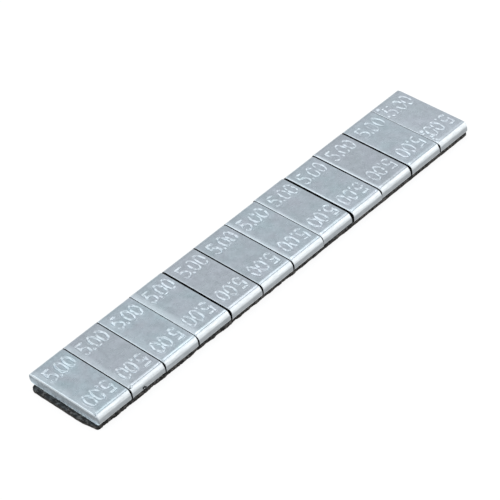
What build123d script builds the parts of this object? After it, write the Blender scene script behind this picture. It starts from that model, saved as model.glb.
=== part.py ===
from build123d import *
import math
import os

# Stick-on wheel balance weight: a row of plated steel segments on one strip of foam tape.
# X runs along the strip from its near end, Z is up, and the origin is at the middle of the underside.
# All sizes are in millimetres.

# Steel segments, cut from flat bar with rolled round sides
segment_count = 12
segment_length = 9.69
segment_width = 22.0
segment_thickness = 3.05
side_bulge = 1.05
bottom_corner = 1.0
end_edge_break = 0.15

# Differences in length between the segments as they were sheared, in steps, from the near end
trim_step = 0.06
trim_order = [-2, 2, 3, 1, -4, -1, 1, -3, -4, 2, 3, 1]

# Coined edge: a small step down from the stamped face to a narrow ledge above each round side
coined_inset = 0.27
coined_width = 0.22
coined_drop = 0.10

# Ends of the segments, drawn back towards the round sides where the shear pulled them
corner_reach = 1.0
corner_setback = 0.12

# Gaps between neighbouring segments, from the near end to the far end
hairline_gap = 0.05
narrow_gap = 0.10
medium_gap = 0.21
open_gap = 0.31
wide_gap = 0.46
gap_order = [
    medium_gap,
    medium_gap,
    narrow_gap,
    wide_gap,
    open_gap,
    medium_gap,
    narrow_gap,
    wide_gap,
    open_gap,
    open_gap,
    hairline_gap,
]

# Sideways slip of the segments as they were laid on the tape, in steps, towards +Y
slip_step = 0.08
slip_order = [1, 1, 0, 1, -1, -1, -1, 2, -1, 1, 0, 0]

# Foam tape and the release liner under it
foam_thickness = 0.9
liner_thickness = 0.1
tape_width = 20.3
tape_side_shift = 0.3
near_overhang = 1.1
far_overhang = 0.3
near_taper_width = 4.4
near_taper_setback = 0.75
near_right_corner = 0.7
near_left_corner = 1.3
far_corner = 0.6

# Places that follow from the sizes
tape_top = liner_thickness + foam_thickness
row_gaps = [gap_order[i % len(gap_order)] for i in range(segment_count - 1)]
row_trims = [trim_step * trim_order[i % len(trim_order)] for i in range(segment_count)]
row_lengths = [segment_length + trim for trim in row_trims]
row_length = sum(row_lengths) + sum(row_gaps)
tape_length = near_overhang + row_length + far_overhang
row_start = -tape_length / 2 + near_overhang


def bar_section():
    """Section of the flat bar, across Y, with its underside on Z = 0."""
    outermost = segment_width / 2
    flat = outermost - side_bulge
    middle = segment_thickness / 2
    side_radius = (middle**2 + side_bulge**2) / (2 * side_bulge)
    ledge = segment_thickness - coined_drop
    ledge_end = outermost - side_radius + math.sqrt(side_radius**2 - (ledge - middle) ** 2)
    step_top = flat - coined_inset
    step_foot = step_top + coined_width
    bottom_edge = outermost - bottom_corner
    outline = [
        Line((-bottom_edge, 0), (bottom_edge, 0)),
        Line((-step_top, segment_thickness), (step_top, segment_thickness)),
    ]
    for side in (-1, 1):
        widest = (side * outermost, middle)
        wall_foot = (side * outermost, bottom_corner)
        outline += [
            TangentArc((side * bottom_edge, 0), wall_foot, tangent=(side, 0)),
            Line(wall_foot, widest),
            TangentArc(widest, (side * ledge_end, ledge), tangent=(0, 1)),
            Line((side * ledge_end, ledge), (side * step_foot, ledge)),
            Line((side * step_foot, ledge), (side * step_top, segment_thickness)),
        ]
    return Plane.YZ * make_face(outline)


def segment_plan(length):
    """Plan of one segment, with its ends drawn back at the round sides."""
    side = segment_width / 2
    shoulder = side - corner_reach
    near = corner_setback
    far = length - corner_setback
    return Polygon(
        (0, -shoulder),
        (near, -side),
        (far, -side),
        (length, -shoulder),
        (length, shoulder),
        (far, side),
        (near, side),
        (0, shoulder),
        align=None,
    )


def segment_profile(length):
    """Side view of one segment, with the upper edges of its sheared ends broken."""
    shoulder = segment_thickness - end_edge_break
    profile = Polygon(
        (0, 0),
        (length, 0),
        (length, shoulder),
        (length - end_edge_break, segment_thickness),
        (end_edge_break, segment_thickness),
        (0, shoulder),
        align=None,
    )
    return Plane.XZ * profile


def steel_segment(length):
    """One segment at the start of the X axis, where its section, its plan and its side view meet."""
    bar = extrude(bar_section(), amount=length)
    plan = extrude(segment_plan(length), amount=segment_thickness)
    profile = extrude(segment_profile(length), amount=segment_width / 2, both=True)
    return bar & plan & profile


def segment_places():
    """Where each segment starts along X, and its slip across Y."""
    places = []
    start = row_start
    for i in range(segment_count):
        slip = slip_step * slip_order[i % len(slip_order)]
        places.append((start, slip))
        if i < len(row_gaps):
            start += row_lengths[i] + row_gaps[i]
    return places


def tape_outline():
    """Plan of the tape: its near edge tapers off to the right, and its corners are rounded."""
    near, far = -tape_length / 2, tape_length / 2
    right, left = -tape_width / 2, tape_width / 2
    taper_start = (near, right + near_taper_width)
    near_right = (near + near_taper_setback, right)
    far_right = (far, right)
    far_left = (far, left)
    near_left = (near, left)
    plan = Polygon(taper_start, near_right, far_right, far_left, near_left, align=None)
    roundings = [
        (near_right, near_right_corner),
        (far_right, far_corner),
        (far_left, far_corner),
        (near_left, near_left_corner),
    ]
    for place, radius in roundings:
        corner = plan.vertices().sort_by_distance(place)[0]
        plan = fillet(corner, radius)
    return Pos(0, -tape_side_shift, 0) * plan


def tape_layer(bottom, thickness):
    """One layer of the tape, from the height of its underside."""
    return Pos(0, 0, bottom) * extrude(tape_outline(), amount=thickness)


os.makedirs("parts", exist_ok=True)

export_step(tape_layer(0, liner_thickness), "parts/release_liner.step")
export_step(tape_layer(liner_thickness, foam_thickness), "parts/foam_tape.step")

for i, (start, slip) in enumerate(segment_places()):
    placed = Pos(start, slip, tape_top) * steel_segment(row_lengths[i])
    export_step(placed, f"parts/weight_segment_{i + 1:02d}.step")
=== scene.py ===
import math

import bpy
import numpy as np
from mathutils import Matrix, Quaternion, Vector, noise


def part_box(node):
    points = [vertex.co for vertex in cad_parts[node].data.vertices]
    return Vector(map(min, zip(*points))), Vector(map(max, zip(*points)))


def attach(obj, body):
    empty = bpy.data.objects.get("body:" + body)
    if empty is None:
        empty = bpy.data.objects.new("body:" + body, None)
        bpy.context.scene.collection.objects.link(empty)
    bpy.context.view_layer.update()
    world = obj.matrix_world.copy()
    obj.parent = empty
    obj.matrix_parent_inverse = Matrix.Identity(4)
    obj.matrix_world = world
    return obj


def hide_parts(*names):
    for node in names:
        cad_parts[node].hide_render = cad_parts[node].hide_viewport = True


# Stick-on wheel balance weight: twelve zinc-plated steel segments on one strip of black foam tape,
# with a release film under it.
# Lengths are in metres. X runs along the strip from its near end, Y to its left, Z up.

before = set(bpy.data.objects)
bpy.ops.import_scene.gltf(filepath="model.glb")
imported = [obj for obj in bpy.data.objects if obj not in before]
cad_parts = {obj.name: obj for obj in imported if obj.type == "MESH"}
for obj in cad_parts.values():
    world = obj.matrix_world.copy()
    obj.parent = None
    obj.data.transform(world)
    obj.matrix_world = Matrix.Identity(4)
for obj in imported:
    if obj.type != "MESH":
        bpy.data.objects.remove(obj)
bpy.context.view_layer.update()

mm = 0.001
body = "root"
segment_nodes = sorted(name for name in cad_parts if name.startswith("weight_segment"))

# Section of the flat bar, with round sides and a coined step beside the stamped face
side_bulge = 1.05 * mm
bottom_corner = 1.0 * mm
coined_inset = 0.55 * mm
coined_width = 0.60 * mm
coined_drop = 0.115 * mm
coined_curve = 1.5
coined_steps = 7
ledge_steps = 6
side_steps = 16
corner_arc_steps = 8
bottom_steps = 10

# Sheared ends of the segments, whose edges count as sheared from a share of their rounding on
near_edge_radius = 0.07 * mm
far_edge_radius = 0.05 * mm
strip_edge_radius = 0.14 * mm
edge_steps = 5
cap_margin = 0.10 * mm
sheared_from = 0.35
corner_reach = 1.0 * mm
corner_blend = 0.8 * mm
end_wander = 0.012 * mm
end_wander_length = 1.6 * mm

# Spacing of the points on the stamped face, fine under the numbers and wider around them
fine_step = 0.085 * mm
end_step = 1.3 * fine_step
side_step = 4 * fine_step
middle_step = 6 * fine_step

# Stamped face, sunk a little so that lips and burrs stay below the top of the bar, and slightly wavy
face_drop = 0.040 * mm
face_wave = 0.010 * mm
face_wave_length = 4.0 * mm

# Waves that make up an unevenness, and the range of their lengths
wave_count = 9
wave_spread = (0.6, 1.7)

# Draw-back of the ends at each gap, and further draw-back at the round sides, in steps from the near end
ease_step = 0.03 * mm
ease_order = [1, 1, 1, 1, 1, 1, 1, 2, 1, 3, 1]
setback_step = 0.03 * mm
setback_order = [3, 3, 3, 1, 2, 2, 3, 1, 2, 2, 7]
strip_setback = 2

# How far the ends lean towards each other low down at each gap, in steps from the near end
lean_step = 0.03 * mm
lean_order = [2, 4, -2, 5, 3, 0, 2, 4, 6, 4, 4]
lean_start = 0.6 * mm
lean_reach = 1.0 * mm

# Rolled-over near edges and burrs on far edges, in steps, one for each segment from the near end
rollover_step = 0.035 * mm
rollover_order = [1, 2, 3, 3, 2, 2, 6, 6, 9, 10, 8, 6]
rollover_least = 0.4 * rollover_step
rollover_reach = 0.30 * mm
burr_step = 0.018 * mm
burr_order = [0, 1, 2, 0, 1, 1, 1, 0, 1, 0, 1, 0]
burr_width = 0.16 * mm

# Plating worn bright along both ends of the top
worn_near_reach = 0.22 * mm
worn_far_reach = 0.10 * mm
worn_far_share = 0.5
worn_share = 0.62

# Painted highlight band behind the near end of each segment, standing in for the glint of the edge's
# rollover: its strength and its reach, in steps
band_step = 0.1
band_order = [4, 5, 2, 8, 0, 0, 7, 6, 5, 7, 1, 2]
band_reach_step = 0.1 * mm
band_reach_order = [13, 13, 22, 14, 10, 10, 9, 7, 6, 7, 10, 19]
band_start = 0.5 * mm
band_fade_start = 0.5

# Plating tone of each segment, from 0 for a purplish grey to 1 for a bluish one
tone_order = [1.0, 0.2, 0.9, 0.6, 0.1, 0.5, 0.7, 0.5, 0.6, 0.1, 0.6, 0.2]

# How much lighter each segment is plated, in steps
light_step = 0.01
light_order = [0, 0, 2, 2, 2, 1, 3, 3, 4, 1, 7, 10]

# How the plating colour turns, by slope, from the top to the round sides with their painted highlight,
# their low part with its painted shade, and the underside
top_sharpness = 2.5
low_sharpness = 3
low_start = 1.25
under_sharpness = 1.4

# Depth below the top at which the ends in the gaps are painted fully dark, as painted shade
gap_shade_depth = 0.04 * mm

# Stamped numbers, two on each segment, the one on the right side turned half round. They lie at a share
# of its length, and are tilted by some degrees.
mark_length = 7.0 * mm
mark_height = 3.9 * mm
mark_along = 0.52
mark_from_middle = 6.15 * mm
mark_shift = 0.2 * mm
mark_side_shift = mark_shift / 2
mark_tilt = 1.5
digit_width = 1.70 * mm
digit_space = 0.55 * mm
point_height = 0.07 * mark_height
mark_seed = 7

# Strokes of the numbers, pressed in unevenly, with a raised lip beside them measured in half widths
stroke_half_width = 0.34 * mm
stroke_depth = 0.205 * mm
stroke_lip = 0.028 * mm
lip_place = 1.3
lip_width = 0.4
stroke_wander = 0.06 * mm
stroke_wander_length = 2.0 * mm
press_mean = 0.9
press_swing = 0.9
press_limits = (0.05, 1.5)
press_length = 1.7 * mm
mark_margin = 2 * stroke_half_width + mark_shift
mark_force = 1.10
mark_fade = 0.034
force_spread = (0.75, 1.05)

# Dents, as segment number, distance from its near edge, place across, radius and depth
dents = [
    (1, 0.16 * mm, -10.05 * mm, 0.17 * mm, 0.40 * mm),
    (2, 0.50 * mm, -10.03 * mm, 0.26 * mm, 0.40 * mm),
    (3, 2.60 * mm, 1.10 * mm, 0.13 * mm, 0.06 * mm),
    (5, 6.10 * mm, -0.90 * mm, 0.16 * mm, 0.10 * mm),
    (5, 7.30 * mm, 0.60 * mm, 0.12 * mm, 0.06 * mm),
    (9, 3.40 * mm, 2.20 * mm, 0.13 * mm, 0.06 * mm),
    (12, 1.05 * mm, 9.05 * mm, 0.42 * mm, 0.26 * mm),
    (12, 0.80 * mm, 5.20 * mm, 0.26 * mm, 0.16 * mm),
    (12, 0.60 * mm, 2.60 * mm, 0.24 * mm, 0.14 * mm),
    (12, 0.95 * mm, -4.65 * mm, 0.40 * mm, 0.26 * mm),
    (12, 0.60 * mm, -5.50 * mm, 0.28 * mm, 0.18 * mm),
    (12, 1.25 * mm, -6.10 * mm, 0.26 * mm, 0.15 * mm),
    (12, 1.10 * mm, -7.70 * mm, 0.44 * mm, 0.25 * mm),
    (12, 0.65 * mm, -8.45 * mm, 0.30 * mm, 0.20 * mm),
    (12, 0.85 * mm, -9.40 * mm, 0.30 * mm, 0.16 * mm),
]
pit_depth = 0.28 * mm
# How strongly the dents are painted with highlight, by their depth
dent_highlight = 1.3

# Plan of the tape
near_taper_width = 4.4 * mm
near_taper_setback = 0.75 * mm
near_taper_rounding = 2 * near_taper_width
near_right_corner = 0.7 * mm
near_left_corner = 1.3 * mm
far_corner = 0.6 * mm
smallest_corner = 0.02 * mm
corner_steps = 9
tape_step = 0.20 * mm

# Rings of points on the foam and the film, by how far they lie in from the edge of the tape
innermost_inset = 4.0 * mm
foam_foot_insets = [0.9 * mm, 0.3 * mm]
foam_side_inset = 0.05 * mm
foam_side_rows = 8
foam_side_rounding = 0.08 * mm
foam_side_squareness = 6
foam_top_insets = [0.26 * mm, 0.40 * mm, 0.55 * mm, 0.72 * mm, 0.9 * mm, 1.1 * mm, 1.5 * mm, 2.2 * mm]
film_foot_insets = [0.3 * mm, 0.06 * mm]
film_side_inset = 0.05 * mm
film_side_levels = [0.2, 0.8]

# Uneven edge of the tape: cells and lumps of the foam, calmer towards the far end and on faces across X
foam_roughness = 0.13 * mm
foam_cell = 0.40 * mm
foam_lump_rise = 0.24 * mm
foam_lump = 1.7 * mm
lump_offset = Vector((5.1, 2.3, 8.7))
foam_side_bulge = 0.11 * mm
foam_far_calm = 0.65
foam_calm_reach = 25.0 * mm
foam_end_calm = 0.75
tear_start = 0.15 * mm
tear_fade = 0.9 * mm
pitted_reach = 2.0 * mm

# Burr and sag of the foam where it was cut, in front of the first segment
foam_burr_rise = 0.36 * mm
foam_end_sag = 0.16 * mm
foam_burr_reach = 0.30 * mm
burr_offset = Vector((1.7, 6.2, 3.4))

# Shred of foam that stands out of the tape's right edge against the second segment. Its path is given
# by distances back from its start, out from the tape's edge and up from the tape's top.
shred_start = -44.8 * mm
shred_path = [
    (0.0 * mm, -0.20 * mm, -0.35 * mm),
    (0.20 * mm, 0.20 * mm, 0.05 * mm),
    (0.50 * mm, 0.47 * mm, 0.70 * mm),
    (0.95 * mm, 0.49 * mm, 1.25 * mm),
    (1.35 * mm, 0.49 * mm, 1.20 * mm),
    (1.30 * mm, 0.49 * mm, 0.90 * mm),
]
shred_width = 0.44 * mm
shred_thickness = 0.18 * mm
shred_sides = 8
shred_unevenness = 0.3

# Camera, with its angles in degrees and its lens in millimetres
camera_heading = 49.903
camera_depression = 41.185
camera_roll = -9.114
camera_distance = 524.9 * mm
camera_aim = Vector((-2.47 * mm, -0.64 * mm, 4.05 * mm))
camera_lens = 170.7
camera_nearest = 10 * mm

# Studio light
sky_colour = (0.97, 1.0, 1.04, 1.0)
sky_strength = 0.78
horizon_strength = 0.44
horizon_height = 0.40
floor_glow = 0.86
floor_colour = (0.17, 0.17, 0.17, 1.0)
floor_size = 6.0
floor_drop = 0.02 * mm


def heading_vector(heading, elevation):
    """Unit vector at a heading from +X towards +Y and an elevation, both in degrees."""
    around, up = math.radians(heading), math.radians(elevation)
    return Vector((math.cos(around) * math.cos(up), math.sin(around) * math.cos(up), math.sin(up)))


def smooth_step(share):
    """Eases from 0 to 1 as the share goes from 0 to 1."""
    share = np.clip(share, 0, 1)
    return share * share * (3 - 2 * share)


def waviness(x, y, wave_length, generator):
    """Smooth unevenness of about -1 to 1, as a sum of crossing waves."""
    total = np.zeros_like(x)
    for _ in range(wave_count):
        turn, phase = generator.uniform(0, 2 * math.pi, 2)
        pace = 2 * math.pi / (wave_length * generator.uniform(*wave_spread))
        total += np.sin(pace * (x * math.cos(turn) + y * math.sin(turn)) + phase)
    return total / (wave_count / 2)


def spaced(start, stop, step):
    """Places from start up to but not including stop, at about the given step."""
    count = max(1, round((stop - start) / step))
    return list(np.linspace(start, stop, count, endpoint=False))


def outward_normals(y, z):
    """Outward unit normals of a closed outline that runs from left to right over the top."""
    along_y = np.roll(y, -1) - np.roll(y, 1)
    along_z = np.roll(z, -1) - np.roll(z, 1)
    length = np.hypot(along_y, along_z)
    return -along_z / length, along_y / length


# Pieces
def tube_faces(rings, around):
    """Quads of a closed tube of rings, and one flat face over each end."""
    faces = []
    for ring in range(rings - 1):
        for place in range(around):
            following = (place + 1) % around
            here, there = ring * around, (ring + 1) * around
            faces.append((here + place, here + following, there + following, there + place))
    faces.append(tuple(reversed(range(around))))
    faces.append(tuple(range((rings - 1) * around, rings * around)))
    return faces


def linked(name, data):
    """An object for a mesh, a lamp or a lens, in the scene."""
    holder = bpy.data.objects.new(name, data)
    bpy.context.scene.collection.objects.link(holder)
    return holder


def make_piece(name, points, faces, material):
    """A smooth-shaded mesh object that rides with the strip."""
    mesh = bpy.data.meshes.new(name)
    mesh.from_pydata(points, [], faces)
    mesh.validate()
    mesh.polygons.foreach_set("use_smooth", np.ones(len(mesh.polygons), bool))
    mesh.materials.append(material)
    piece = linked(name, mesh)
    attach(piece, body)
    return piece


def add_numbers(mesh, name, values):
    """Stores one number for each point of a mesh, for its material."""
    attribute = mesh.attributes.new(name, "FLOAT", "POINT")
    attribute.data.foreach_set("value", np.asarray(values, np.float32).ravel())


# Stamped numbers
def arc_points(centre, radii, start, end, count=24):
    """Points along an elliptical arc between two angles in degrees."""
    angles = np.radians(np.linspace(start, end, count))
    x = centre[0] + radii[0] * np.cos(angles)
    y = centre[1] + radii[1] * np.sin(angles)
    return np.column_stack([x, y])


def digit_five(left):
    """Strokes of a 5: its bar with the stem, and its bowl."""
    bowl_radii = (0.53 * digit_width, 0.31 * mark_height)
    bowl_centre = (left + 0.45 * digit_width, bowl_radii[1])
    bowl = arc_points(bowl_centre, bowl_radii, start=138, end=-142)
    bar_end = (left + 0.95 * digit_width, mark_height)
    stem_top = (left + 0.14 * digit_width, mark_height)
    return [np.array([bar_end, stem_top, bowl[0]]), bowl]


def digit_zero(left):
    """Stroke of a 0."""
    radii = (digit_width / 2, mark_height / 2)
    centre = (left + radii[0], radii[1])
    return [arc_points(centre, radii, start=0, end=360, count=40)]


def decimal_point(place):
    """A short stroke on the baseline."""
    return [np.array([(place, 0.0), (place, point_height)])]


def mark_strokes():
    """The number on each segment, about its own middle."""
    second_zero = mark_length - digit_width
    first_zero = second_zero - digit_space - digit_width
    point = (digit_width + first_zero) / 2
    strokes = digit_five(0) + decimal_point(point) + digit_zero(first_zero) + digit_zero(second_zero)
    middle = np.array([mark_length / 2, mark_height / 2])
    return [stroke - middle for stroke in strokes]


def stroke_distance(points, strokes):
    """Distance from each point to the nearest stroke."""
    nearest = np.full(len(points), np.inf)
    for stroke in strokes:
        for start, end in zip(stroke[:-1], stroke[1:]):
            run = end - start
            share = np.clip((points - start) @ run / (run @ run), 0, 1)
            gap = points - start - share[:, None] * run
            nearest = np.minimum(nearest, np.linalg.norm(gap, axis=1))
    return nearest


def stamped_depth(x, y, centre, turn, force, generator):
    """Depth of one stamped number at each place, and how far the place lies in a stroke from 0 to 1."""
    across = np.column_stack([x - centre[0], y - centre[1]])
    cosine, sine = math.cos(turn), math.sin(turn)
    local = across @ np.array([[cosine, -sine], [sine, cosine]])
    local_x, local_y = local[:, 0], local[:, 1]
    wander = [waviness(local_x, local_y, stroke_wander_length, generator) for _ in range(2)]
    distance = stroke_distance(local + stroke_wander * np.column_stack(wander), mark_strokes())
    groove = smooth_step(1 - np.clip(distance / stroke_half_width, 0, 1))
    lip = np.exp(-((distance / stroke_half_width - lip_place) / lip_width) ** 2)
    press = press_mean + press_swing * waviness(local_x, local_y, press_length, generator)
    strength = force * generator.uniform(*force_spread) * np.clip(press, *press_limits)
    return strength * (stroke_depth * groove - stroke_lip * lip), groove * np.minimum(strength, 1)


# Steel segments
def side_radius(thickness):
    """Radius of the bar's round sides."""
    return ((thickness / 2) ** 2 + side_bulge ** 2) / (2 * side_bulge)


def half_section(half_width, thickness):
    """Right half of the bar's section from the edge of its flat to the bottom, as y and z."""
    step = np.linspace(0, 1, coined_steps)
    edge_y = half_width - side_bulge - coined_inset + coined_width * step
    edge_z = -coined_drop * step ** coined_curve
    middle = thickness / 2
    radius = side_radius(thickness)
    upper = np.linspace(math.asin((middle - coined_drop) / radius), 0, side_steps)
    lower = np.linspace(0, -math.pi / 2, corner_arc_steps)
    upper_y = half_width - radius + radius * np.cos(upper)
    upper_z = radius * np.sin(upper) - middle
    lower_y = half_width - bottom_corner + bottom_corner * np.cos(lower)
    lower_z = bottom_corner - thickness + bottom_corner * np.sin(lower)
    ledge_y = np.linspace(edge_y[-1], upper_y[0], ledge_steps)[1:-1]
    ledge_z = np.full(len(ledge_y), -coined_drop)
    y = np.concatenate([edge_y, ledge_y, upper_y, lower_y])
    return y, np.concatenate([edge_z, ledge_z, upper_z, lower_z])


def bar_section(half_width, thickness):
    """Closed outline of the bar's section from its left side over the top, with z = 0 on top."""
    edge_y, edge_z = half_section(half_width, thickness)
    inner = mark_from_middle - mark_height / 2 - mark_margin
    outer = mark_from_middle + mark_height / 2 + mark_margin
    flat_end = edge_y[0]
    top = spaced(-flat_end, -outer, side_step) + spaced(-outer, -inner, fine_step)
    top += spaced(-inner, inner, middle_step)
    top += spaced(inner, outer, fine_step) + spaced(outer, flat_end, side_step)
    bottom = np.linspace(edge_y[-1], -edge_y[-1], bottom_steps + 1)[1:-1]
    y = np.concatenate([-edge_y[::-1], top[1:], edge_y, bottom])
    z = np.concatenate([edge_z[::-1], np.zeros(len(top) - 1), edge_z, np.full(len(bottom), -thickness)])
    return y, z


def inset_directions(y, z, half_width, thickness):
    """Unit vectors from the core of the bar out through each point of its section."""
    core = half_width - side_radius(thickness)
    out_y = y - np.clip(y, -core, core)
    out_z = z + thickness / 2
    length = np.hypot(out_y, out_z)
    return out_y / length, out_z / length


def segment_rings(start, end, near_radius, far_radius):
    """Places of the rings along a segment, and how far each is drawn in at the rounded ends."""
    turn = np.radians(np.linspace(0, 90, edge_steps + 1))
    near_x = start + near_radius * (1 - np.cos(turn))
    near_inset = near_radius * (1 - np.sin(turn))
    far_x = end - far_radius * (1 - np.cos(turn[::-1]))
    far_inset = far_radius * (1 - np.sin(turn[::-1]))
    length = start + end
    mark_start = (length - mark_length) / 2 - mark_margin
    between = spaced(start + near_radius, mark_start, end_step)[1:]
    between += spaced(mark_start, length - mark_start, fine_step)
    between += spaced(length - mark_start, end - far_radius, end_step)
    x = np.concatenate([[start], near_x, between, far_x, [end]])
    near_cap = [near_radius + cap_margin]
    far_cap = [far_radius + cap_margin]
    inset = np.concatenate([near_cap, near_inset, np.zeros(len(between)), far_inset, far_cap])
    return x, inset


def end_pull(number, section_y, section_z, ring_x, half_width, length, generator):
    """How far each point moves along X where the ends draw back at the round sides, lean and wander."""
    setbacks = [strip_setback] + setback_order + [strip_setback]
    leans = [0] + lean_order + [0]
    towards_side = smooth_step((np.abs(section_y) - half_width + corner_reach) / corner_reach)
    low_down = smooth_step((-section_z - lean_start) / lean_reach)
    total = np.zeros((len(ring_x), len(section_y)))
    for inward, distance, gap in ((1, ring_x, number - 1), (-1, length - ring_x, number)):
        wander = end_wander * (1 + waviness(section_y, 0 * section_y, end_wander_length, generator))
        pull = setback_step * setbacks[gap] * towards_side + np.clip(wander, 0, None)
        pull -= lean_step * leans[gap] * low_down
        total += inward * smooth_step(1 - distance / corner_blend)[:, None] * pull
    return total


def top_shape(number, x, y, length, generator):
    """Rise of the stamped face at each place, and how far the place lies in a stroke from 0 to 1."""
    rise = face_wave * waviness(x, y, face_wave_length, generator)
    rollover = rollover_step * rollover_order[number - 1] + rollover_least
    rise -= rollover * np.exp(-x / rollover_reach)
    burr = burr_step * burr_order[number - 1]
    rise += burr * np.exp(-((length - 2 * burr_width - x) / burr_width) ** 2)
    stroke_share = np.zeros_like(x)
    for side, turn in ((1, 0.0), (-1, math.pi)):
        shift = generator.uniform(-1, 1, 2) * np.array([mark_shift, mark_side_shift])
        centre = (length * mark_along + shift[0], side * mark_from_middle + shift[1])
        turn += math.radians(generator.uniform(-mark_tilt, mark_tilt))
        force = mark_force - mark_fade * (number - 1)
        depth, groove = stamped_depth(x, y, centre, turn, force, generator)
        rise -= depth
        stroke_share = np.maximum(stroke_share, groove)
    return rise, stroke_share


def dent_depth(number, x, y):
    """Depth of a segment's dents at each place."""
    total = np.zeros_like(x)
    for dented, place, across, radius, depth in dents:
        if dented == number:
            total += depth * np.exp(-((x - place) ** 2 + (y - across) ** 2) / radius ** 2)
    return total


class SegmentForm:
    """Points of one segment, ring by ring along X, measured from its near end, its middle and its top."""

    def __init__(self, number, length, half_width, thickness):
        self.number = number
        self.length = length
        self.first = number == 1
        self.last = number == len(segment_nodes)
        generator = np.random.default_rng(mark_seed + number)
        self.lay_rings(half_width, thickness, generator)
        self.stamp_top(generator)

    def lay_rings(self, half_width, thickness, generator):
        """Lays out the plain bar, with its ends rounded, drawn back and leaning."""
        near_radius = strip_edge_radius if self.first else near_edge_radius
        far_radius = strip_edge_radius if self.last else far_edge_radius
        start = 0 if self.first else ease_step * ease_order[self.number - 2]
        end = self.length if self.last else self.length - ease_step * ease_order[self.number - 1]
        ring_x, inset = segment_rings(start, end, near_radius, far_radius)
        section_y, section_z = bar_section(half_width, thickness)
        out_y, out_z = inset_directions(section_y, section_z, half_width, thickness)
        pull = end_pull(self.number, section_y, section_z, ring_x, half_width, self.length, generator)
        self.ring_x = ring_x
        self.shape = pull.shape
        self.x = ring_x[:, None] + pull
        self.y = section_y - inset[:, None] * out_y
        self.z = section_z - inset[:, None] * out_z
        self.normal_z = outward_normals(section_y, section_z)[1]
        near_half = ring_x < self.length / 2
        far_half = ring_x > self.length / 2
        self.near_end = near_half & (inset > sheared_from * near_radius)
        self.far_end = far_half & (inset > sheared_from * far_radius)
        self.on_edge = np.where(near_half, inset / near_radius, inset / far_radius)

    def stamp_top(self, generator):
        """Sinks the numbers, the rolled-over edges and the dents into the bar."""
        x, y = self.x.ravel(), self.y.ravel()
        rise, stroke_share = top_shape(self.number, x, y, self.length, generator)
        self.facing_up = smooth_step(top_sharpness * np.clip(self.normal_z, 0, 1) - (top_sharpness - 1))
        top_share = self.facing_up * smooth_step(1 - self.on_edge)[:, None]
        self.stroke = stroke_share.reshape(self.shape) * top_share
        self.dent = dent_depth(self.number, x, y).reshape(self.shape) * (self.normal_z > 0)
        self.z = self.z + np.minimum(rise.reshape(self.shape) - face_drop, 0) * top_share - self.dent

    def wear_and_highlight(self):
        """How far the plating is worn bright at each point along both ends, and how far the painted
        highlight band behind the near end reaches.
        """
        along = self.ring_x[:, None] * np.ones(self.shape)
        near_wear = np.exp(-along / worn_near_reach)
        far_wear = worn_far_share * np.exp((along - self.length) / worn_far_reach)
        strength = band_step * band_order[self.number - 1]
        reach = band_reach_step * band_reach_order[self.number - 1]
        band = smooth_step(along / band_start) * (1 - smooth_step(along / reach - band_fade_start))
        return np.minimum(np.maximum(worn_share * (near_wear + far_wear), strength * band), 1)

    def plating(self):
        """The numbers that the plating colour follows at the points, by name, painted highlight and
        painted shade among them.
        """
        in_gap = self.near_end * (not self.first) + self.far_end * (not self.last)
        # Painted shade: the ends in the gaps, and the deepest dents, are painted nearly black where shade
        # falls
        gap_painted_shade = in_gap[:, None] * smooth_step(-self.z / gap_shade_depth)
        below_top = smooth_step(low_start - low_sharpness * self.normal_z)
        above_foot = 1 - smooth_step(-under_sharpness * self.normal_z)
        return {
            # Painted highlight in the strokes; in the dents it is partly bare struck steel and partly
            # painted glint
            "stroke_and_dent_highlight": np.maximum(self.stroke, smooth_step(dent_highlight * self.dent / pit_depth)),
            # Wear along both ends of the top, together with the painted highlight band behind the near
            # end
            "edge_wear_and_highlight": self.wear_and_highlight() * self.facing_up,
            "sheared_end": (self.near_end | self.far_end)[:, None],
            "round_side": 1 - self.facing_up,
            "low_side": below_top * above_foot,
            "painted_shade": np.maximum(gap_painted_shade, self.dent > pit_depth),
            "plate_tone": tone_order[self.number - 1],
            "plate_light": 1 + light_step * light_order[self.number - 1],
        }


def steel_segment(number, node, material):
    """One plated steel segment with its stamped numbers, in the place of its node."""
    low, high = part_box(node)
    form = SegmentForm(number, high.x - low.x, (high.y - low.y) / 2, high.z - low.z)
    x = form.x.ravel() + low.x
    y = form.y.ravel() + (low.y + high.y) / 2
    z = form.z.ravel() + high.z
    piece = make_piece(f"plated_{node}", np.column_stack([x, y, z]), tube_faces(*form.shape), material)
    for name, values in form.plating().items():
        add_numbers(piece.data, name, np.broadcast_to(values, form.shape))
    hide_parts(node)


# Foam tape
def unit(vector):
    """The vector at length 1."""
    return vector / np.linalg.norm(vector)


def tape_corners(low, high):
    """Corners of the tape's plan counter-clockwise, each with its rounding."""
    return [
        (np.array([low.x, low.y + near_taper_width]), near_taper_rounding),
        (np.array([low.x + near_taper_setback, low.y]), near_right_corner),
        (np.array([high.x, low.y]), far_corner),
        (np.array([high.x, high.y]), far_corner),
        (np.array([low.x, high.y]), near_left_corner),
    ]


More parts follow.
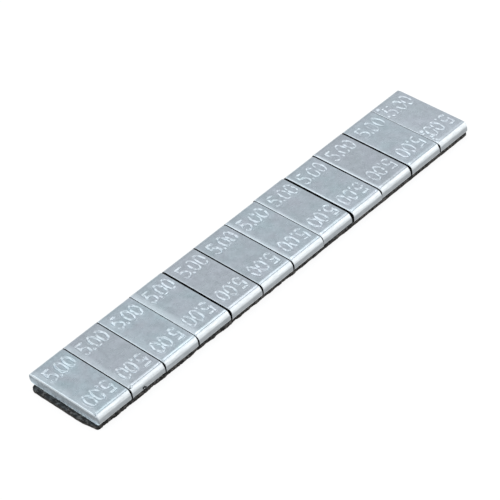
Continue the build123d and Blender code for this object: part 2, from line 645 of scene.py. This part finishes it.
def rounded_plan(corners, inset):
    """Outline with rounded corners, drawn in by an inset, with as many points at every inset."""
    arcs = []
    for i, (place, radius) in enumerate(corners):
        along_in = unit(place - corners[i - 1][0])
        along_out = unit(corners[(i + 1) % len(corners)][0] - place)
        inward_in = np.array([-along_in[1], along_in[0]])
        inward_out = np.array([-along_out[1], along_out[0]])
        diagonal = (inward_in + inward_out) / (1 + inward_in @ inward_out)
        kept = max(radius - inset, smallest_corner)
        centre = place + diagonal * (inset + kept)
        start = math.atan2(-inward_in[1], -inward_in[0])
        turn = math.acos(np.clip(inward_in @ inward_out, -1, 1))
        angles = start + turn * np.linspace(0, 1, corner_steps)
        arcs.append(centre + kept * np.column_stack([np.cos(angles), np.sin(angles)]))
    outline = []
    for i, arc in enumerate(arcs):
        following = arcs[(i + 1) % len(arcs)][0]
        whole_run = np.linalg.norm(corners[(i + 1) % len(corners)][0] - corners[i][0])
        shares = np.linspace(0, 1, round(whole_run / tape_step) + 1)[1:-1, None]
        outline += [arc, arc[-1] + shares * (following - arc[-1])]
    return np.concatenate(outline)


def foam_push(place):
    """How far the foam's skin stands out at a place, from its cells and lumps."""
    cells = noise.noise(place / foam_cell)
    lumps = noise.noise(place / foam_lump + lump_offset)
    calm = foam_far_calm * smooth_step(place.x / foam_calm_reach)
    return (foam_roughness * cells + foam_lump_rise * lumps) * (1 - calm)


def foam_burr(place, steel_start):
    """How far the foam stands up or sags where it was cut, in front of the first segment."""
    swell = abs(noise.noise(place / foam_lump + burr_offset))
    in_front = smooth_step((steel_start - place.x) / foam_burr_reach)
    return (foam_burr_rise * swell - foam_end_sag) * in_front


def foam_rings(thickness):
    """Rings of the foam from its underside round its edge and over the top, as inset and height."""
    rings = [(inset, 0.0) for inset in [innermost_inset] + foam_foot_insets]
    for level in np.linspace(0, 1, foam_side_rows):
        inset = foam_side_inset + foam_side_rounding * (2 * level - 1) ** foam_side_squareness
        rings.append((inset, level * thickness))
    rings += [(inset, thickness) for inset in foam_top_insets + [innermost_inset]]
    return rings


def film_rings(thickness):
    """Rings of the film from its underside round its edge and over the top, as inset and height."""
    insets = [innermost_inset] + film_foot_insets
    rings = [(inset, 0.0) for inset in insets]
    rings += [(film_side_inset, level * thickness) for level in film_side_levels]
    rings += [(inset, thickness) for inset in reversed(insets)]
    return rings


def torn_place(place, normal_x, normal_y, on_edge, on_top, steel_start):
    """A place on the tape, moved out where its edge is torn, and up or down where its top is pitted."""
    push = foam_push(place) * (1 - foam_end_calm * abs(normal_x))
    rise = foam_burr(place, steel_start) - abs(push)
    outward = Vector((normal_x, normal_y, 0)) * (push + foam_side_bulge * abs(normal_y))
    return place + (outward * on_edge + Vector((0, 0, rise)) * on_top)


def torn_layer(name, node, rings, pitted, material):
    """A layer of the tape with an uneven edge and a pitted or a flat top, in the place of its node."""
    low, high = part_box(node)
    steel_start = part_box(segment_nodes[0])[0].x
    corners = tape_corners(low, high)
    points = []
    for inset, height in rings:
        outline = rounded_plan(corners, inset)
        out_x, out_y = outward_normals(outline[::-1, 0], outline[::-1, 1])
        on_edge = 1 - smooth_step((inset - tear_start) / tear_fade)
        on_top = float(pitted and height >= high.z - low.z and inset < pitted_reach)
        for (x, y), normal_x, normal_y in zip(outline, out_x[::-1], out_y[::-1]):
            place = Vector((x, y, low.z + height))
            place = torn_place(place, normal_x, normal_y, on_edge, on_top, steel_start)
            place.x = min(max(place.x, low.x), high.x)
            points.append(place)
    around = len(points) // len(rings)
    piece = make_piece(name, points, tube_faces(len(rings), around), material)
    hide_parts(node)
    return piece


def foam_tape(material):
    """The foam strip with its torn, cellular edges."""
    low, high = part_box("foam_tape")
    piece = torn_layer("black_foam_tape", "foam_tape", foam_rings(high.z - low.z), True, material)


def release_film(material):
    """The film under the foam, torn along with it."""
    low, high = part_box("release_liner")
    piece = torn_layer("release_film", "release_liner", film_rings(high.z - low.z), False, material)


def foam_shred(material):
    """A curled shred of foam, torn from the tape's right edge and stuck against the steel."""
    low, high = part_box("foam_tape")
    path = [Vector((shred_start - back, low.y - out, high.z + up)) for back, out, up in shred_path]
    points = []
    for i, place in enumerate(path):
        along = (path[min(i + 1, len(path) - 1)] - path[max(i - 1, 0)]).normalized()
        flat = along.cross(Vector((0, -1, 0))).normalized()
        thick = along.cross(flat)
        for step in range(shred_sides):
            turn = 2 * math.pi * step / shred_sides
            across = flat * math.cos(turn) * shred_width / 2
            offset = across + thick * math.sin(turn) * shred_thickness / 2
            swell = 1 + shred_unevenness * noise.noise((place + offset) / foam_cell)
            points.append(place + offset * swell)
    piece = make_piece("foam_shred", points, tube_faces(len(path), shred_sides), material)


# Materials
class Shading:
    """Node tree of one material, with short calls to add and join nodes."""

    def __init__(self, name):
        self.material = bpy.data.materials.new(name)
        self.material.use_nodes = True
        self.tree = self.material.node_tree
        self.surface = self.tree.nodes["Principled BSDF"]
        self.place = self.add("ShaderNodeTexCoord").outputs["Object"]

    def add(self, kind, **settings):
        """A new node with its settings."""
        node = self.tree.nodes.new(kind)
        for name, value in settings.items():
            setattr(node, name, value)
        return node

    def join(self, source, target):
        """Feeds an input from another node, or sets it to a value."""
        if isinstance(source, (int, float, tuple)):
            target.default_value = source
        else:
            self.tree.links.new(source, target)

    def attribute(self, name):
        """A number that the mesh stores for each point."""
        return self.add("ShaderNodeAttribute", attribute_name=name).outputs["Fac"]

    def height(self):
        """Height above the floor in metres."""
        node = self.add("ShaderNodeSeparateXYZ")
        self.join(self.place, node.inputs["Vector"])
        return node.outputs["Z"]

    def grain(self, size, detail=3.0, roughness=0.55, stretch=(1, 1, 1)):
        """Noise with features of about the given size in metres, stretched along each axis."""
        mapping = self.add("ShaderNodeMapping")
        mapping.inputs["Scale"].default_value = [1 / (size * longer) for longer in stretch]
        self.join(self.place, mapping.inputs["Vector"])
        node = self.add("ShaderNodeTexNoise")
        node.inputs["Scale"].default_value = 1.0
        node.inputs["Detail"].default_value = detail
        node.inputs["Roughness"].default_value = roughness
        self.join(mapping.outputs["Vector"], node.inputs["Vector"])
        return node.outputs["Fac"]

    def cells(self, size):
        """Distance to the middle of the nearest cell, for cells of about the given size."""
        node = self.add("ShaderNodeTexVoronoi")
        node.inputs["Scale"].default_value = 1 / size
        self.join(self.place, node.inputs["Vector"])
        return node.outputs["Distance"]

    def ranged(self, source, low, high, from_low=0.3, from_high=0.7):
        """The source spread over a range of values."""
        node = self.add("ShaderNodeMapRange")
        self.join(source, node.inputs["Value"])
        limits = {"From Min": from_low, "From Max": from_high, "To Min": low, "To Max": high}
        for name, value in limits.items():
            node.inputs[name].default_value = value
        return node.outputs["Result"]

    def by_height(self, bottom, top, at_bottom, at_top):
        """A value that changes evenly between two heights above the floor."""
        return self.ranged(self.height(), at_bottom, at_top, from_low=bottom, from_high=top)

    def combined(self, operation, first, second):
        """Two numbers, or outputs of nodes, put together."""
        node = self.add("ShaderNodeMath", operation=operation)
        self.join(first, node.inputs[0])
        self.join(second, node.inputs[1])
        return node.outputs["Value"]

    def plus(self, first, second):
        """The sum of two numbers."""
        return self.combined("ADD", first, second)

    def less(self, first, second):
        """The first number less the second."""
        return self.combined("SUBTRACT", first, second)

    def times(self, first, second):
        """The product of two numbers."""
        return self.combined("MULTIPLY", first, second)

    def mixed(self, share, first, second):
        """A colour between two, by the share of the second."""
        node = self.add("ShaderNodeMix", data_type="RGBA")
        self.join(share, node.inputs["Factor"])
        self.join(first, node.inputs["A"])
        self.join(second, node.inputs["B"])
        return node.outputs["Result"]

    def scaled(self, colour, brightness):
        """A colour made darker or lighter."""
        node = self.add("ShaderNodeVectorMath", operation="SCALE")
        self.join(colour[:3] if isinstance(colour, tuple) else colour, node.inputs["Vector"])
        self.join(brightness, node.inputs["Scale"])
        return node.outputs["Vector"]

    def bump(self, height, depth, strength=1.0, below=None):
        """Fine relief of a depth in metres, on top of the relief below it."""
        node = self.add("ShaderNodeBump")
        node.inputs["Strength"].default_value = strength
        node.inputs["Distance"].default_value = depth
        self.join(height, node.inputs["Height"])
        if below is not None:
            self.join(below, node.inputs["Normal"])
        return node.outputs["Normal"]


def plain_plate(shading):
    """Colour of the plating: cool grey, purplish or bluish, mottled, and lighter on some segments."""
    bluish = (0.448, 0.545, 0.582, 1.0)
    purplish = (0.470, 0.511, 0.540, 1.0)
    violet = (0.494, 0.526, 0.573, 1.0)
    plate = shading.mixed(shading.attribute("plate_tone"), purplish, bluish)
    patch = shading.ranged(shading.grain(size=4.5 * mm, detail=2), low=0.0, high=0.8)
    plate = shading.mixed(patch, plate, violet)
    cloud = shading.ranged(shading.grain(size=1.6 * mm, detail=4), low=0.91, high=1.09)
    fine_cloud = shading.ranged(shading.grain(size=0.35 * mm, detail=2), low=0.94, high=1.06)
    mottle = shading.times(cloud, fine_cloud)
    return shading.scaled(plate, shading.times(mottle, shading.attribute("plate_light")))


def highlit_and_worn_plate(shading, plate, stroke):
    """Painted highlight in the strokes and the dents, and plating worn bright in scuffs along the ends of
    the top, with a painted highlight band behind each near end.
    """
    bright_stroke = (0.775, 0.86, 0.91, 1.0)
    bright_edge = (0.74, 0.82, 0.86, 1.0)
    # Painted highlight in the stamped strokes and the dents
    plate = shading.mixed(stroke, plate, bright_stroke)
    # Plating worn bright along the ends of the top, and a painted highlight band behind each near end
    scuff = shading.ranged(shading.grain(size=0.9 * mm, stretch=(1, 2.5, 1)), low=0.55, high=1.05)
    worn = shading.times(shading.attribute("edge_wear_and_highlight"), scuff)
    return shading.mixed(worn, plate, bright_edge)


def highlit_side_plate(shading, plate, streak):
    """Lighter plating on the round sides as painted highlight, streaked along the bar."""
    bright_side = (0.752, 0.797, 0.818, 1.0)
    round_side = shading.attribute("round_side")
    # Painted highlight: the round sides are plated lighter than the top to keep their bright band
    side_highlight = shading.ranged(round_side, low=0.0, high=0.9, from_low=0.0, from_high=0.5)
    return shading.mixed(side_highlight, plate, shading.scaled(bright_side, streak))


def torn_share(shading):
    """Share of the sheared ends that is torn, below a burnished band with a ragged lower edge."""
    ragged = shading.ranged(shading.grain(size=0.5 * mm, detail=4), low=-0.12 * mm, high=0.12 * mm)
    height = shading.plus(shading.height(), ragged)
    below_band = shading.ranged(height, low=1.0, high=0.0, from_low=3.22 * mm, from_high=3.52 * mm)
    return shading.times(shading.attribute("sheared_end"), below_band)


def sheared_plate(shading, plate, torn):
    """Sheared ends: a burnished band at the top, and torn steel with painted light low down and painted
    shade higher up.
    """
    burnished = (0.640, 0.705, 0.745, 1.0)
    torn_steel = (0.88, 1.0, 1.08, 1.0)
    band = shading.less(shading.attribute("sheared_end"), torn)
    plate = shading.mixed(band, plate, burnished)
    # Painted light low down on the torn face and painted shade higher up, under the burnished band
    down = shading.by_height(bottom=1.0 * mm, top=2.8 * mm, at_bottom=1.02, at_top=0.46)
    blotch = shading.ranged(shading.grain(size=0.8 * mm, detail=4), low=0.75, high=1.25)
    return shading.mixed(torn, plate, shading.scaled(torn_steel, shading.times(down, blotch)))


def shaded_plate(shading, plate, streak):
    """Painted shade low down on the round sides, for the dim floor they reflect, and nearly black painted
    shade in the gaps and the deep dents.
    """
    shaded_low_side = (0.345, 0.374, 0.394, 1.0)
    painted_shade = (0.02, 0.02, 0.02, 1.0)
    most_shaded = 0.95
    # Painted shade low on the round sides, darker towards the bottom, standing in for the dim floor that
    # they reflect
    low_shade = shading.times(shading.attribute("low_side"), most_shaded)
    deep = shading.by_height(bottom=1.35 * mm, top=2.25 * mm, at_bottom=0.46, at_top=1.0)
    plate = shading.mixed(low_shade, plate, shading.scaled(shaded_low_side, shading.times(deep, streak)))
    # Painted shade, nearly black, in the gaps and the deep dents
    return shading.mixed(shading.attribute("painted_shade"), plate, painted_shade)


def plate_roughness(shading, stroke, torn):
    """Half-gloss plating, duller in the strokes and much duller where it is torn."""
    torn_dulling = 0.42
    stroke_dulling = 0.25
    rough = shading.ranged(shading.grain(size=1.1 * mm, detail=4), low=0.25, high=0.35)
    rough = shading.plus(rough, shading.times(torn, torn_dulling))
    return shading.plus(rough, shading.times(stroke, stroke_dulling))


def plate_relief(shading, torn):
    """Faint grain all over, lines drawn along the round sides, and tears down the sheared ends."""
    skin = shading.bump(shading.grain(size=0.22 * mm), depth=0.004 * mm)
    lines = shading.grain(size=0.14 * mm, stretch=(30, 1, 1))
    drawn = shading.times(lines, shading.attribute("round_side"))
    skin = shading.bump(drawn, depth=0.008 * mm, below=skin)
    tears = shading.times(shading.grain(size=0.30 * mm, stretch=(1, 1, 4)), torn)
    return shading.bump(tears, depth=0.08 * mm, below=skin)


def zinc_plate():
    """Zinc plating: cool mottled grey, worn bright along the edges, coarse on the sheared ends, with
    painted highlights and painted shade.
    """
    shading = Shading("zinc_plate")
    surface = shading.surface
    most_highlit = 0.56
    stroke = shading.times(shading.attribute("stroke_and_dent_highlight"), most_highlit)
    streak = shading.ranged(shading.grain(size=0.42 * mm, stretch=(4, 1, 1)), low=0.87, high=1.10)
    torn = torn_share(shading)
    plate = plain_plate(shading)
    plate = highlit_and_worn_plate(shading, plate, stroke)
    plate = highlit_side_plate(shading, plate, streak)
    plate = sheared_plate(shading, plate, torn)
    plate = shaded_plate(shading, plate, streak)
    surface.inputs["Metallic"].default_value = 1.0
    shading.join(plate, surface.inputs["Base Color"])
    shading.join(plate_roughness(shading, stroke, torn), surface.inputs["Roughness"])
    shading.join(plate_relief(shading, torn), surface.inputs["Normal"])
    return shading.material


def foam_colour(shading):
    """Charcoal foam, brownish on its edges and bluish on top, dusty in spots, with painted shade at its
    foot.
    """
    brown_skin = (0.015, 0.014, 0.013, 1.0)
    blue_skin = (0.012, 0.015, 0.017, 1.0)
    brown_dust = (0.158, 0.146, 0.136, 1.0)
    blue_dust = (0.100, 0.112, 0.117, 1.0)
    spots = shading.grain(size=0.45 * mm, detail=4, stretch=(1.5, 2.5, 1))
    spots = shading.ranged(spots, low=0.0, high=1.0, from_low=0.46, from_high=0.66)
    settled = shading.by_height(bottom=0.80 * mm, top=0.98 * mm, at_bottom=0.0, at_top=0.08)
    dust = shading.plus(spots, settled)
    cool = shading.by_height(bottom=0.78 * mm, top=0.96 * mm, at_bottom=0.0, at_top=1.0)
    skin = shading.mixed(cool, brown_skin, blue_skin)
    powder = shading.mixed(cool, brown_dust, blue_dust)
    # Painted shade at the foot of the foam
    shade = shading.by_height(bottom=0.10 * mm, top=0.45 * mm, at_bottom=0.60, at_top=1.10)
    return shading.scaled(shading.mixed(dust, skin, powder), shade)


def black_foam():
    """Closed-cell foam: dull, charcoal, pitted and lumpy."""
    shading = Shading("black_foam")
    surface = shading.surface
    rough = shading.ranged(shading.grain(size=0.8 * mm), low=0.75, high=0.98)
    pits = shading.bump(shading.cells(size=0.28 * mm), depth=0.08 * mm, strength=0.8)
    lumps = shading.bump(shading.grain(size=0.12 * mm), depth=0.03 * mm, strength=0.6, below=pits)
    surface.inputs["Specular IOR Level"].default_value = 0.3
    shading.join(foam_colour(shading), surface.inputs["Base Color"])
    shading.join(rough, surface.inputs["Roughness"])
    shading.join(lumps, surface.inputs["Normal"])
    return shading.material


def liner_film():
    """Release film: dark brown, faintly creased and scuffed."""
    dark_brown = (0.040, 0.035, 0.030, 1.0)
    scuffed_brown = (0.062, 0.055, 0.049, 1.0)
    shading = Shading("liner_film")
    surface = shading.surface
    scuff = shading.ranged(shading.grain(size=3.0 * mm, detail=6, stretch=(3, 1, 1)), low=0.0, high=0.6)
    rough = shading.ranged(shading.grain(size=1.5 * mm), low=0.42, high=0.62)
    folds = shading.grain(size=5.0 * mm, detail=5, stretch=(1, 2.5, 1))
    shading.join(shading.mixed(scuff, dark_brown, scuffed_brown), surface.inputs["Base Color"])
    shading.join(rough, surface.inputs["Roughness"])
    shading.join(shading.bump(folds, depth=0.10 * mm, strength=0.5), surface.inputs["Normal"])
    return shading.material


# Studio
def softbox(name, heading, elevation, distance, width, height, radiance, tint=(1.0, 1.0, 1.0)):
    """A soft lamp that faces the strip, with the brightness that a mirror would see in it."""
    lamp = bpy.data.lights.new(name, "AREA")
    lamp.color = tint
    lamp.shape = "RECTANGLE"
    lamp.size = width
    lamp.size_y = height
    lamp.energy = radiance * math.pi * width * height
    holder = linked(name, lamp)
    holder.location = heading_vector(heading, elevation) * distance
    holder.rotation_mode = "QUATERNION"
    holder.rotation_quaternion = holder.location.to_track_quat("Z", "Y")


def studio_lamps():
    """A large warm lamp to the right, a small one above the far end, and a large one to the left."""
    softbox(
        "right_softbox",
        heading=-44,
        elevation=28,
        distance=0.70,
        width=0.84,
        height=0.94,
        radiance=0.62,
        tint=(1.04, 1.0, 0.97),
    )
    softbox(
        "upper_softbox",
        heading=15,
        elevation=65,
        distance=0.375,
        width=0.15,
        height=0.15,
        radiance=1.6,
    )
    softbox(
        "left_softbox",
        heading=121,
        elevation=43,
        distance=0.70,
        width=0.64,
        height=0.90,
        radiance=0.78,
    )


def seen_directly(tree):
    """1 for what the camera, a mirror or glass shows, 0 for the light that falls on surfaces."""
    path = tree.nodes.new("ShaderNodeLightPath")
    total = path.outputs["Is Camera Ray"]
    for kind in ("Is Glossy Ray", "Is Transmission Ray"):
        either = tree.nodes.new("ShaderNodeMath")
        either.operation = "MAXIMUM"
        tree.links.new(total, either.inputs[0])
        tree.links.new(path.outputs[kind], either.inputs[1])
        total = either.outputs["Value"]
    return total


def floor_paint():
    """Grey paint that takes the shadow, with a glow that makes it look white and lights nothing."""
    material = bpy.data.materials.new("white_floor")
    material.use_nodes = True
    tree = material.node_tree
    tree.nodes.remove(tree.nodes["Principled BSDF"])
    paint = tree.nodes.new("ShaderNodeBsdfDiffuse")
    paint.inputs["Color"].default_value = floor_colour
    glow = tree.nodes.new("ShaderNodeEmission")
    shown = tree.nodes.new("ShaderNodeMath")
    shown.operation = "MULTIPLY"
    shown.inputs[1].default_value = floor_glow
    tree.links.new(seen_directly(tree), shown.inputs[0])
    tree.links.new(shown.outputs["Value"], glow.inputs["Strength"])
    both = tree.nodes.new("ShaderNodeAddShader")
    tree.links.new(paint.outputs["BSDF"], both.inputs[0])
    tree.links.new(glow.outputs["Emission"], both.inputs[1])
    tree.links.new(both.outputs["Shader"], tree.nodes["Material Output"].inputs["Surface"])
    return material


def white_floor():
    """A white floor that keeps the strip's soft shadow."""
    half = floor_size / 2
    corners = [(-half, -half), (half, -half), (half, half), (-half, half)]
    mesh = bpy.data.meshes.new("floor")
    mesh.from_pydata([(x, y, -floor_drop) for x, y in corners], [], [(0, 1, 2, 3)])
    mesh.materials.append(floor_paint())
    floor = linked("floor", mesh)


def studio_sky():
    """Cool light from above that dims towards the horizon."""
    world = bpy.data.worlds.new("studio")
    bpy.context.scene.world = world
    world.use_nodes = True
    tree = world.node_tree
    light = tree.nodes["Background"]
    light.inputs["Color"].default_value = sky_colour
    direction = tree.nodes.new("ShaderNodeSeparateXYZ")
    coordinates = tree.nodes.new("ShaderNodeTexCoord")
    tree.links.new(coordinates.outputs["Generated"], direction.inputs["Vector"])
    strength = tree.nodes.new("ShaderNodeMapRange")
    strength.inputs["From Max"].default_value = horizon_height
    strength.inputs["To Min"].default_value = horizon_strength
    strength.inputs["To Max"].default_value = sky_strength
    tree.links.new(direction.outputs["Z"], strength.inputs["Value"])
    tree.links.new(strength.outputs["Result"], light.inputs["Strength"])


def long_lens_camera():
    """Long lens, looking down along the strip with a slight roll."""
    lens = bpy.data.cameras.new("camera")
    lens.lens = camera_lens
    lens.clip_start = camera_nearest
    holder = linked("camera", lens)
    forward = heading_vector(camera_heading, -camera_depression)
    holder.location = camera_aim - forward * camera_distance
    holder.rotation_mode = "QUATERNION"
    roll = Quaternion((0, 0, 1), math.radians(camera_roll))
    holder.rotation_quaternion = forward.to_track_quat("-Z", "Y") @ roll
    bpy.context.scene.camera = holder


plate = zinc_plate()
for number, node in enumerate(segment_nodes, 1):
    steel_segment(number, node, plate)
foam = black_foam()
foam_tape(foam)
foam_shred(foam)
release_film(liner_film())

white_floor()
studio_sky()
studio_lamps()
long_lens_camera()
bpy.context.scene.view_settings.view_transform = "Standard"
